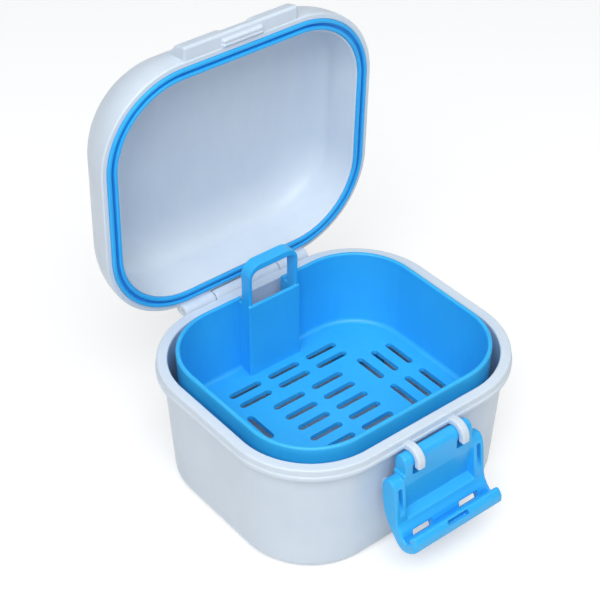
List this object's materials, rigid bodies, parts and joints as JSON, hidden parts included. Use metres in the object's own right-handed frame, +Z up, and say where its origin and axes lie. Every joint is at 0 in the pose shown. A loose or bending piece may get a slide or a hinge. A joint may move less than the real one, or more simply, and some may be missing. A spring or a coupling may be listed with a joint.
{
  "type": "denture case",
  "caption": "Hinged box for soaking dentures, with a lift-out strainer basket, a soft lid seal and a swinging front latch.",
  "frame": {"origin": "centre of the underside of the base cup, on the surface that the case stands on", "axes": "+Z up, +Y from the latch at the front to the hinge at the back, +X to the right as seen from the front"},
  "size_m": [0.0982, 0.1225, 0.1332],
  "materials": {
    "cup_white": "satin moulded polypropylene, white with a cool tint",
    "basket_blue": "satin moulded polypropylene, sky blue",
    "lid_white": "satin moulded polypropylene, white with a cool tint",
    "seal_blue": "soft silicone, sky blue",
    "pin_steel": "drawn stainless steel",
    "latch_blue": "satin moulded polypropylene, sky blue"
  },
  "bodies": {
    "cup": {"base_cup": "cup_white", "hinge_pin": "pin_steel"},
    "basket": {"strainer_basket": "basket_blue"},
    "lid": {"lid_shell": "lid_white", "lid_seal": "seal_blue"},
    "latch": {"latch_clip": "latch_blue"}
  },
  "joints": [
    {"name": "lid_hinge", "type": "hinge", "parent": "cup", "child": "lid", "pos_m": [0, 0.0437, 0.0426], "axis": [1, 0, 0], "range_deg": [0, 88]},
    {"name": "basket_lift", "type": "slide", "parent": "cup", "child": "basket", "axis": [0, 0, 1], "range_m": [0, 0.07]},
    {"name": "latch_swing", "type": "hinge", "parent": "cup", "child": "latch", "pos_m": [0, -0.0443, 0.0372], "axis": [-1, 0, 0], "range_deg": [0, 135]}
  ]
}
